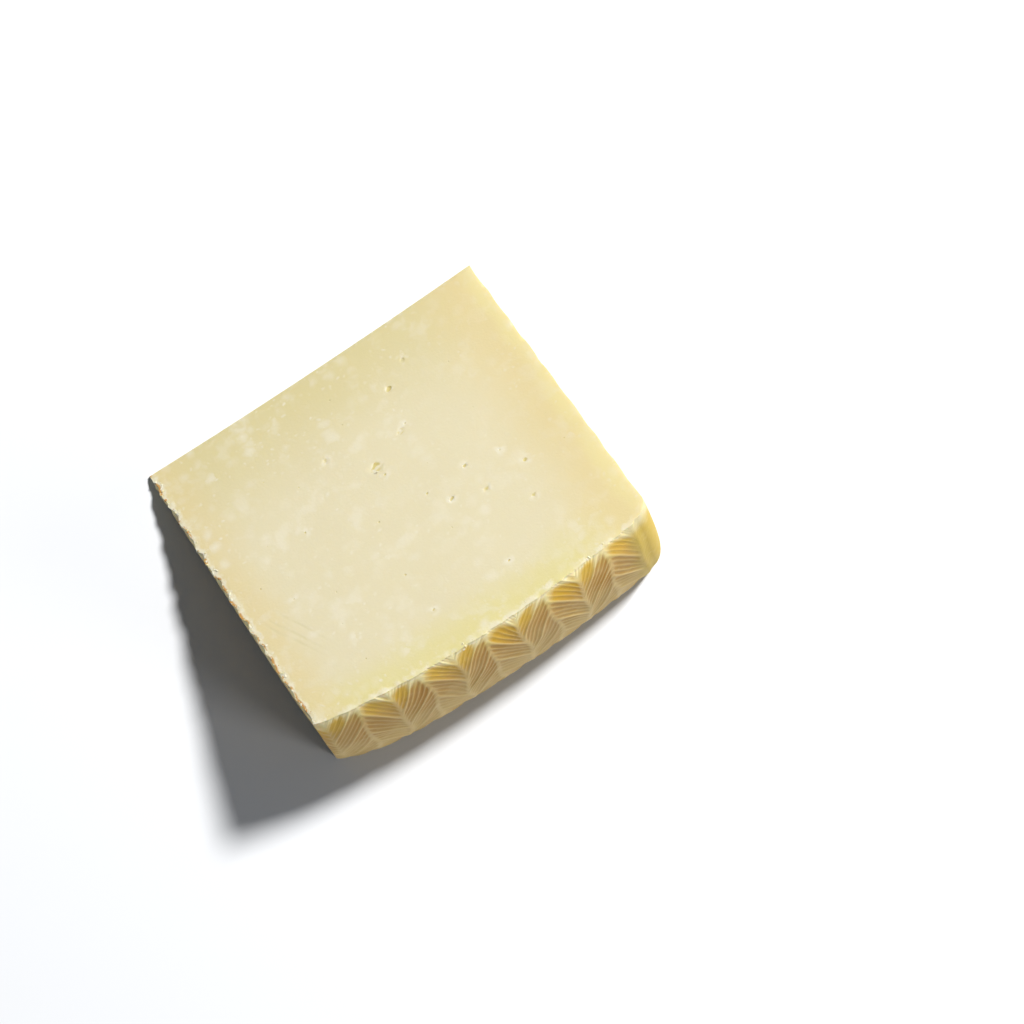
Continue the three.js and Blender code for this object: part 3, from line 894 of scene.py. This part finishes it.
# Takes away what only the trees needed
def tidyMesh(piece):
    for name in ("id", "turn", "across", "rimShare", "ribShare", "ribRun", "rindFace",
                 "eyeSize", "eyeDepth", "crumbSize"):
        if name in piece.data.attributes:
            piece.data.attributes.remove(piece.data.attributes[name])


# Effects that more than one material uses

def newGroup(name, sockets, results):
    tree, given = newTree(name, "ShaderNodeTree", sockets)
    for label, socketType in results:
        tree.interface.new_socket(label, in_out="OUTPUT", socket_type=socketType)
    return tree, given, addNode(tree, "NodeGroupOutput")


def mixColour(tree, share, first, second, blend="MIX"):
    node = addNode(tree, "ShaderNodeMix", data_type="RGBA", blend_type=blend)
    sockets = [s for s in node.inputs if s.enabled]
    for socket, value in zip(sockets, (share, first, second)):
        feed(tree, socket, value)
    return next(s for s in node.outputs if s.enabled)


def useGroup(tree, group, values):
    node = addNode(tree, "ShaderNodeGroup", node_tree=group)
    for name, value in values.items():
        feed(tree, node.inputs[name], value)
    return node.outputs


# Soft pale spots of curd in cells of random strength, crowded in some places and few in others
def buildMottle():
    tree, given, output = newGroup("curdMottle", [
        ("Position", "NodeSocketVector", None),
        ("Colour", "NodeSocketColor", (0.57, 0.51, 0.34, 1)),
        ("Pale", "NodeSocketColor", (0.61, 0.565, 0.43, 1)),
        ("Spot Scale", "NodeSocketFloat", 300.0),
        ("Strength", "NodeSocketFloat", 0.5),
    ], [("Colour", "NodeSocketColor"), ("Height", "NodeSocketFloat")])
    bend = addNode(tree, "ShaderNodeTexNoise", {"Vector": given["Position"], "Scale": 260.0, "Detail": 2.0})
    offset = scaled(tree, vectorCalc(tree, "SUBTRACT", bend.outputs["Color"], (0.5, 0.5, 0.5)), 3 * mm)
    bent = vectorCalc(tree, "ADD", given["Position"], offset)
    crowd = calc(tree, "MULTIPLY", given["Spot Scale"], 0.22)
    places = ease(tree, noise(tree, given["Position"], crowd, 2.0), 0.34, 0.6, 0.25, 1.0)
    marks = None
    for ratio, reach, rarest in ((0.8, 0.6, 0.35), (1.9, 0.45, 0.45)):
        scale = calc(tree, "MULTIPLY", given["Spot Scale"], ratio)
        cells = addNode(tree, "ShaderNodeTexVoronoi", {"Vector": bent, "Scale": scale})
        spot = ease(tree, cells.outputs["Distance"], 0.0, reach, 1.0, 0.0)
        draw = addNode(tree, "ShaderNodeSeparateColor", {"Color": cells.outputs["Color"]}).outputs[0]
        spot = calc(tree, "MULTIPLY", spot, ease(tree, draw, rarest, 1.0))
        marks = spot if marks is None else calc(tree, "MAXIMUM", marks, spot)
    cloudScale = calc(tree, "MULTIPLY", given["Spot Scale"], 0.6)
    cloud = ease(tree, noise(tree, bent, cloudScale, 2.0), 0.5, 0.72, 0.0, 0.6)
    marks = calc(tree, "MAXIMUM", marks, cloud)
    share = calc(tree, "MULTIPLY", calc(tree, "MULTIPLY", marks, places), given["Strength"])
    feed(tree, output.inputs["Colour"], mixColour(tree, share, given["Colour"], given["Pale"]))
    feed(tree, output.inputs["Height"], share)
    return tree


# Fine dry grain of pressed curd
def buildGrain():
    tree, given, output = newGroup("dryGrain", [
        ("Position", "NodeSocketVector", None),
        ("Grain Scale", "NodeSocketFloat", 1500.0),
        ("Roughness", "NodeSocketFloat", 0.55),
        ("Variation", "NodeSocketFloat", 0.1),
    ], [("Height", "NodeSocketFloat"), ("Roughness", "NodeSocketFloat")])
    fine = noise(tree, given["Position"], given["Grain Scale"], 4.0, 0.6)
    broadScale = calc(tree, "MULTIPLY", given["Grain Scale"], 0.12)
    broad = noise(tree, given["Position"], broadScale, 2.0)
    feed(tree, output.inputs["Height"], calc(tree, "MULTIPLY_ADD", broad, 0.6, fine))
    swing = calc(tree, "MULTIPLY", calc(tree, "SUBTRACT", broad, 0.5), given["Variation"])
    feed(tree, output.inputs["Roughness"], calc(tree, "ADD", given["Roughness"], swing))
    return tree


def startMaterial(name, look):
    material = bpy.data.materials.new(name)
    material.use_nodes = True
    tree = material.node_tree
    tree.nodes.clear()
    output = addNode(tree, "ShaderNodeOutputMaterial")
    shader = addNode(tree, "ShaderNodeBsdfPrincipled")
    feed(tree, output.inputs["Surface"], shader.outputs[0])
    shader.inputs["IOR"].default_value = look["ior"]
    shader.inputs["Subsurface Weight"].default_value = look["glow"]
    shader.inputs["Subsurface Radius"].default_value = look["glowColour"]
    shader.inputs["Subsurface Scale"].default_value = look["glowReach"]
    shader.inputs["Specular IOR Level"].default_value = look["shine"]
    position = addNode(tree, "ShaderNodeTexCoord").outputs["Object"]
    return material, tree, shader, position


def attribute(tree, name):
    return addNode(tree, "ShaderNodeAttribute", attribute_name=name).outputs["Fac"]


# Gives a material its dry grain, and returns the grain's height
def addGrain(tree, shader, grain, position, look):
    grained = useGroup(tree, grain, {"Position": position, "Grain Scale": look["grainScale"],
                                     "Roughness": look["roughness"], "Variation": look["variation"]})
    feed(tree, shader.inputs["Roughness"], grained["Roughness"])
    return grained["Height"]


def bumpFrom(tree, height, strength, distance):
    inputs = {"Height": height, "Strength": strength, "Distance": distance}
    return addNode(tree, "ShaderNodeBump", inputs).outputs[0]


pasteLook = {
    "ior": 1.45, "shine": 0.3, "glow": 0.4, "glowColour": (1.0, 0.78, 0.45), "glowReach": 2.5 * mm,
    "cream": (0.572, 0.513, 0.342, 1),
    "lime": (0.56, 0.50, 0.228, 1),         # along the rim
    "ochre": (0.567, 0.468, 0.243, 1),      # along the flat faces
    "butter": (0.60, 0.52, 0.255, 1),       # at the very edge of the +X face
    "olive": (0.522, 0.455, 0.240, 1),      # along the nose
    "pale": (0.615, 0.57, 0.44, 1),
    "crumb": (0.625, 0.58, 0.435, 1),       # broken curd at the very edge
    "rust": (0.46, 0.24, 0.06, 1),          # bits of rind dragged over the -X edge
    # olive of the eyes' floors, partly their own tone and partly painted shade
    "eye": (0.50, 0.42, 0.17, 1),
    "drag": (0.50, 0.445, 0.265, 1),        # faint lines that the knife left
    "dragStart": (-48.2 * mm, 59 * mm),     # x and distance from the wheel's axis
    "dragEnd": (-37.5 * mm, 80 * mm),
    "dragShifts": (0.0, 1.6 * mm, 4.4 * mm),
    "roughness": 0.5, "variation": 0.3, "grainScale": 1400.0,
}


# Soft parallel lines from dragStart to dragEnd
def dragLines(tree, x, out, position):
    start, end = Vector(pasteLook["dragStart"]), Vector(pasteLook["dragEnd"])
    along = (end - start).normalized()
    stray = calc(tree, "MULTIPLY", calc(tree, "SUBTRACT", noise(tree, position, 60.0, 1.0), 0.5), 4 * mm)
    fromX = calc(tree, "ADD", calc(tree, "SUBTRACT", x, start.x), stray)
    fromOut = calc(tree, "SUBTRACT", out, start.y)
    run = calc(tree, "MULTIPLY_ADD", fromX, along.x, calc(tree, "MULTIPLY", fromOut, along.y))
    side = calc(tree, "MULTIPLY_ADD", fromX, along.y, calc(tree, "MULTIPLY", fromOut, -along.x))
    length = (end - start).length
    reach = calc(tree, "MULTIPLY", ease(tree, run, 0.0, 6 * mm),
                 ease(tree, run, length - 7 * mm, length, 1.0, 0.0))
    reach = calc(tree, "MULTIPLY", reach, ease(tree, noise(tree, position, 200.0, 2.0), 0.3, 0.6, 0.2, 1.0))
    lines = None
    for shift in pasteLook["dragShifts"]:
        away = calc(tree, "ABSOLUTE", calc(tree, "SUBTRACT", side, shift))
        line = ease(tree, away, 0.0, 0.65 * mm, 1.0, 0.0)
        lines = line if lines is None else calc(tree, "MAXIMUM", lines, line)
    return calc(tree, "MULTIPLY", lines, reach)


def makePaste(mottle, grain):
    look = pasteLook
    material, tree, shader, position = startMaterial("cheesePaste", look)
    parts = addNode(tree, "ShaderNodeSeparateXYZ", {"Vector": position})
    x = parts.outputs["X"]
    out = calc(tree, "SUBTRACT", axisY, parts.outputs["Y"])
    out = calc(tree, "DIVIDE", out, math.cos(cut["angle"]))
    drift = calc(tree, "MULTIPLY", calc(tree, "SUBTRACT", noise(tree, position, 55.0, 2.0), 0.5), 9 * mm)
    toRim = calc(tree, "ADD", attribute(tree, "toRim"), drift)
    toFace = calc(tree, "ADD", attribute(tree, "toFace"), drift)
    colour = mixColour(tree, ease(tree, calc(tree, "ADD", out, drift), 2 * mm, 40 * mm, 0.95, 0.0),
                       look["cream"], look["olive"])
    colour = mixColour(tree, ease(tree, toRim, 1 * mm, 16 * mm, 0.9, 0.0), colour, look["lime"])
    rightward = ease(tree, x, 0.0, 10 * mm, 0.75, 1.0)
    bandWidth = ease(tree, x, -10 * mm, 10 * mm, 15 * mm, 27 * mm)
    faceBand = calc(tree, "MULTIPLY", ease(tree, toFace, 2 * mm, bandWidth, 0.95, 0.0), rightward)
    colour = mixColour(tree, faceBand, colour, look["ochre"])
    butter = calc(tree, "MULTIPLY", ease(tree, toFace, 1 * mm, 6 * mm, 0.85, 0.0),
                  ease(tree, x, 0.0, 20 * mm))
    colour = mixColour(tree, butter, colour, look["butter"])
    leftward = ease(tree, x, -15 * mm, 35 * mm, 1.0, 0.6)
    mottled = useGroup(tree, mottle, {"Position": position, "Colour": colour, "Pale": look["pale"],
                                      "Spot Scale": 300.0, "Strength": leftward})
    lines = dragLines(tree, x, out, position)
    colour = mixColour(tree, calc(tree, "MULTIPLY", lines, 0.5), mottled["Colour"], look["drag"])

    # The eyes and their pale lips, with the olive deepening towards an eye's floor: partly the eyes' own
    # tone, partly painted shade
    toEye, toEdge = attribute(tree, "toEye"), attribute(tree, "toEdge")
    lip = calc(tree, "MULTIPLY", ease(tree, toEye, 0.5 * mm, 2.6 * mm, 0.9, 0.0),
               ease(tree, noise(tree, position, 420.0, 1.0), 0.42, 0.6))
    colour = mixColour(tree, lip, colour, look["pale"])
    # deeper below the cut inside an eye the colour turns darker olive: painted shade in the hollow, over the
    # eyes' own tone
    eyeToneAndShade = ease(tree, attribute(tree, "belowCut"), 0.05 * mm, 0.22 * mm)
    eyeToneAndShade = calc(tree, "MULTIPLY", eyeToneAndShade, calc(tree, "MULTIPLY", attribute(tree, "inEye"),
                                             ease(tree, toEdge, 1 * mm, 3 * mm)))
    colour = mixColour(tree, eyeToneAndShade, colour, look["eye"])

    # The broken edge, with bits of rind on the -X side
    ragged = calc(tree, "MULTIPLY_ADD", noise(tree, position, 480.0, 3.0, 0.6), -4 * mm, toEdge)
    onLeft = byLeftFace(tree, x, 2 * mm, 4 * mm)
    clumps = ease(tree, noise(tree, position, 230.0, 2.0), 0.42, 0.58, 0.0, 0.85)
    gaps = ease(tree, noise(tree, position, 520.0, 2.0), 0.38, 0.55, 0.35, 1.0)
    leftBand = calc(tree, "MULTIPLY", onLeft, gaps)
    notClean = calc(tree, "MULTIPLY", calc(tree, "MAXIMUM", leftBand, clumps),
                    beforeCleanEnd(tree, x, 5 * mm, 0.2))
    broken = calc(tree, "MULTIPLY", ease(tree, ragged, -1.4 * mm, 0.1 * mm, 0.95, 0.0), notClean)
    colour = mixColour(tree, broken, colour, look["crumb"])
    bits = calc(tree, "MULTIPLY", ease(tree, noise(tree, position, 230.0, 3.0, 0.6), 0.45, 0.54),
                ease(tree, toEdge, 0.3 * mm, 0.8 * mm, 1.0, 0.0))
    colour = mixColour(tree, calc(tree, "MULTIPLY", bits, onLeft), colour, look["rust"])
    feed(tree, shader.inputs["Base Color"], colour)

    height = addGrain(tree, shader, grain, position, look)
    height = calc(tree, "MULTIPLY_ADD", mottled["Height"], 0.25, height)
    height = calc(tree, "MULTIPLY_ADD", broken, noise(tree, position, 1700.0, 2.0), height)
    height = calc(tree, "MULTIPLY_ADD", lines, -0.4, height)
    feed(tree, shader.inputs["Normal"], bumpFrom(tree, height, 0.2, 0.25 * mm))
    return material


rindLook = {
    "ior": 1.45, "shine": 0.15, "glow": 0.3, "glowColour": (1.0, 0.6, 0.25), "glowReach": 2 * mm,
    "golden": (0.61, 0.35, 0.016, 1),       # the upper bundles' channels
    "brown": (0.415, 0.228, 0.048, 1),
    "toasted": (0.43, 0.20, 0.026, 1),
    "tan": (0.435, 0.275, 0.072, 1),        # low down
    "goldenRidge": (0.71, 0.53, 0.155, 1),
    "ridge": (0.58, 0.40, 0.15, 1),
    "lowRidge": (0.565, 0.415, 0.17, 1),
    "smoothEnd": (0.50, 0.355, 0.07, 1),
    "fading": (0.79, 0.70, 0.38, 1),        # where the rind thins out at the upper cut
    "bare": (0.61, 0.535, 0.30, 1),         # at the very edge and beyond the plait
    "crumb": (0.78, 0.74, 0.55, 1),
    "pale": (0.72, 0.58, 0.33, 1),
    "roughness": 0.6, "variation": 0.3, "grainScale": 1800.0,
}


def makeRind(mottle, grain):
    look = rindLook
    material, tree, shader, position = startMaterial("plaitedRind", look)
    x = addNode(tree, "ShaderNodeSeparateXYZ", {"Vector": position}).outputs["X"]
    channel, dish, tone = attribute(tree, "channel"), attribute(tree, "dish"), attribute(tree, "tone")
    arcBelow, toEdge = attribute(tree, "arcBelow"), attribute(tree, "toEdge")

    # Golden bundles by the upper cut, brown ones under them, and plain tan low down
    golden = calc(tree, "MULTIPLY", ease(tree, attribute(tree, "bundleBelow"), 10 * mm, 24 * mm, 1.0, 0.0),
                  ease(tree, arcBelow, 5 * mm, 15 * mm, 1.0, 0.3))
    pressed = mixColour(tree, ease(tree, arcBelow, 14 * mm, 30 * mm), look["brown"], look["tan"])
    toasted = calc(tree, "MULTIPLY", ease(tree, arcBelow, 3 * mm, 8 * mm),
                   ease(tree, arcBelow, 14 * mm, 24 * mm, 0.8, 0.3))
    toasted = calc(tree, "MULTIPLY", toasted, attribute(tree, "toast"))
    pressed = mixColour(tree, toasted, pressed, look["toasted"])
    pressed = mixColour(tree, golden, pressed, look["golden"])
    ridge = mixColour(tree, ease(tree, arcBelow, 10 * mm, 28 * mm), look["ridge"], look["lowRidge"])
    ridge = mixColour(tree, ease(tree, arcBelow, 2 * mm, 11 * mm, 1.0, 0.0), ridge, look["goldenRidge"])
    depth = calc(tree, "MULTIPLY", ease(tree, channel, 0.05, 0.85), ease(tree, dish, 0.0, 0.2))
    depth = calc(tree, "MULTIPLY", depth, calc(tree, "MULTIPLY_ADD", tone, 0.3, 0.7))
    body = calc(tree, "MULTIPLY", ease(tree, dish, 0.2, 0.6), calc(tree, "MULTIPLY_ADD", golden, 0.3, 0.4))
    depth = calc(tree, "MAXIMUM", depth, body)
    depth = calc(tree, "MAXIMUM", depth, calc(tree, "MULTIPLY", attribute(tree, "ribs"), 0.7))
    colour = mixColour(tree, depth, ridge, pressed)
    beyond = ease(tree, wanderingX(tree, position, x), plait["endsAt"] - 2 * mm, plait["goneAt"])
    colour = mixColour(tree, beyond, colour, look["smoothEnd"])
    mottled = useGroup(tree, mottle, {"Position": position, "Colour": colour, "Pale": look["pale"],
                                      "Spot Scale": 480.0, "Strength": 0.15})

    # At the upper cut the rind thins out into the paste, with broken curd here and there
    ragged = calc(tree, "MULTIPLY_ADD", noise(tree, position, 300.0, 3.0, 0.6), -4.5 * mm, toEdge)
    ragged = calc(tree, "MULTIPLY_ADD", dish, 4.5 * mm, ragged)
    thin = ease(tree, ragged, -1.5 * mm, 5.0 * mm, 1.0, 0.0)
    fading = mixColour(tree, beyond, look["fading"], look["bare"])
    colour = mixColour(tree, thin, mottled["Colour"], fading)
    clumps = calc(tree, "MULTIPLY", ease(tree, noise(tree, position, 420.0, 2.0), 0.47, 0.6),
                  calc(tree, "SUBTRACT", 1.0, beyond))
    broken = calc(tree, "MULTIPLY", clumps, ease(tree, toEdge, 0.4 * mm, 1.8 * mm, 0.85, 0.0))
    colour = mixColour(tree, broken, colour, look["crumb"])
    corner = ease(tree, toEdge, 0.2 * mm, 1.2 * mm, 0.85, 0.0)
    feed(tree, shader.inputs["Base Color"], mixColour(tree, corner, colour, look["bare"]))
    height = addGrain(tree, shader, grain, position, look)
    feed(tree, shader.inputs["Normal"], bumpFrom(tree, height, 0.2, 0.15 * mm))
    return material


crumbLook = {
    "ior": 1.45, "shine": 0.3, "glow": 0.3, "glowColour": (1.0, 0.8, 0.5), "glowReach": 0.8 * mm,
    "pale": (0.65, 0.61, 0.46, 1), "yellow": (0.60, 0.53, 0.28, 1), "rust": (0.42, 0.21, 0.055, 1),
    "roughness": 0.6, "variation": 0.2, "grainScale": 3000.0,
}


def makeCrumbMaterial(mottle, grain):
    look = crumbLook
    material, tree, shader, position = startMaterial("curdCrumb", look)
    shade = attribute(tree, "shade")
    colour = mixColour(tree, ease(tree, shade, 0.4, 0.9), look["pale"], look["yellow"])
    colour = mixColour(tree, ease(tree, shade, 0.93, 0.95), colour, look["rust"])
    mottled = useGroup(tree, mottle, {"Position": position, "Colour": colour, "Pale": look["pale"],
                                      "Spot Scale": 1500.0, "Strength": 0.5})
    feed(tree, shader.inputs["Base Color"], mottled["Colour"])
    height = addGrain(tree, shader, grain, position, look)
    feed(tree, shader.inputs["Normal"], bumpFrom(tree, height, 0.3, 0.1 * mm))
    return material


# The floor, the lights and the camera

studio = {
    "floorSize": 3.0,
    "floorColour": (0.712, 0.718, 0.728, 1),
    "keyDirection": (0.932, 0.360),   # over the floor, towards the light
    "keyElevation": math.radians(52),
    "keyDistance": 2.2,
    "keySize": 0.34,
    "keyPower": 80,
    "fillDirection": (0.45, -0.89),
    "fillElevation": math.radians(20),
    "fillDistance": 1.3,
    "fillSize": 0.5,
    "fillPower": 5.0,
    "surround": (0.101, 0.113, 0.130, 1),
}

view = {
    "lookAt": Vector((23.9, -12.5, 0)) * mm,
    "back": Vector((-0.0528, 0.0132, 0.9985)),
    "up": Vector((0.5535, 0.8328, 0)),
    "distance": 1199.3 * mm,
    "lens": 159.1,
}


def makeFloor():
    half = studio["floorSize"] / 2
    corners = [(-half, -half, 0), (half, -half, 0), (half, half, 0), (-half, half, 0)]
    floor = meshObject("floor", corners, [(0, 1, 2, 3)])
    material = bpy.data.materials.new("paleFloor")
    material.use_nodes = True
    shader = material.node_tree.nodes["Principled BSDF"]
    shader.inputs["Base Color"].default_value = studio["floorColour"]
    shader.inputs["Roughness"].default_value = 0.9
    shader.inputs["Specular IOR Level"].default_value = 0.1
    floor.data.materials.append(material)
    return floor


# A round soft light that shines on the wedge
def makeLight(name):
    light = bpy.data.objects.new(name + "Light", bpy.data.lights.new(name + "Light", "AREA"))
    light.data.shape = "DISK"
    light.data.size = studio[name + "Size"]
    light.data.energy = studio[name + "Power"]
    elevation = studio[name + "Elevation"]
    along = Vector(studio[name + "Direction"]).normalized() * math.cos(elevation)
    direction = Vector((along.x, along.y, math.sin(elevation)))
    light.location = direction * studio[name + "Distance"]
    light.rotation_euler = direction.to_track_quat("Z", "Y").to_euler()
    bpy.context.scene.collection.objects.link(light)


def makeSurround():
    world = bpy.data.worlds.new("studioSurround")
    bpy.context.scene.world = world
    world.use_nodes = True
    world.node_tree.nodes["Background"].inputs["Color"].default_value = studio["surround"]


def makeCamera():
    camera = bpy.data.objects.new("camera", bpy.data.cameras.new("camera"))
    camera.data.lens = view["lens"]
    back = view["back"].normalized()
    up = (view["up"] - view["up"].dot(back) * back).normalized()
    right = up.cross(back)
    turned = Matrix((right, up, back)).transposed().to_4x4()
    camera.matrix_world = Matrix.Translation(view["lookAt"] + back * view["distance"]) @ turned
    camera.data.clip_start = 0.01
    bpy.context.scene.collection.objects.link(camera)
    bpy.context.scene.camera = camera


mottleGroup, grainGroup = buildMottle(), buildGrain()
paste, rind = makePaste(mottleGroup, grainGroup), makeRind(mottleGroup, grainGroup)
curd = makeCrumbMaterial(mottleGroup, grainGroup)
print("materials made:", paste.name, rind.name, curd.name)
wedge = makeWedge(paste, rind)
crumbPiece = makeCrumbs(wedge, curd)
tidyMesh(wedge)
tidyMesh(crumbPiece)
floor = makeFloor()
makeLight("key")
makeLight("fill")
makeSurround()
makeCamera()
bpy.context.scene.view_settings.view_transform = "Standard"
print("floor, lights, surround and camera in place")

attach(wedge, "root")
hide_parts("cheese_wedge")
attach(crumbPiece, "root")
